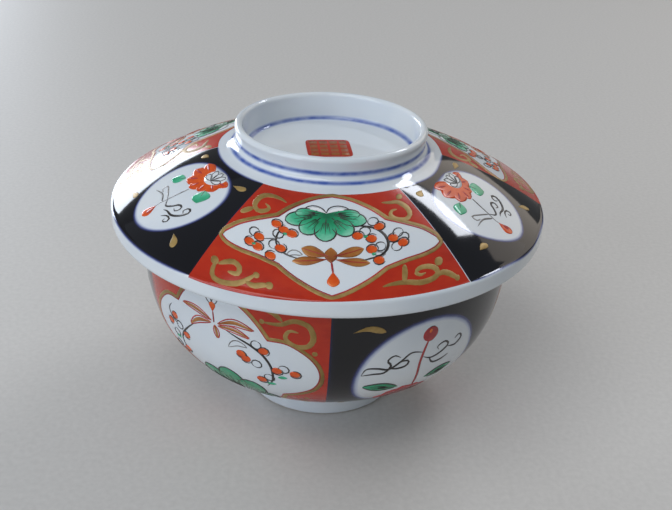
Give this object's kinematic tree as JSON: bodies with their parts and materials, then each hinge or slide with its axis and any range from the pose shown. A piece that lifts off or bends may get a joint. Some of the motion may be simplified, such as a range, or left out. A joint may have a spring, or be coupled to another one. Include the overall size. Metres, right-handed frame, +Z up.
{
  "type": "lidded rice bowl",
  "caption": "Round footed rice bowl with an overhanging domed lid that has a ring knob; the lid lifts straight off.",
  "frame": {"origin": "middle of the foot ring's lower face, on the surface the bowl stands on", "axes": "+Z up along the bowl's axis of revolution; -Y is the side with the lid's front red panel"},
  "size_m": [0.115, 0.115, 0.0782],
  "materials": {
    "bowl_porcelain": "gloss",
    "lid_porcelain": "gloss"
  },
  "bodies": {
    "bowl": {"bowl": "bowl_porcelain"},
    "lid": {"lid": "lid_porcelain"}
  },
  "joints": [
    {"name": "lid_lift", "type": "slide", "parent": "bowl", "child": "lid", "axis": [0, 0, 1], "range_m": [0, 0.08]}
  ]
}
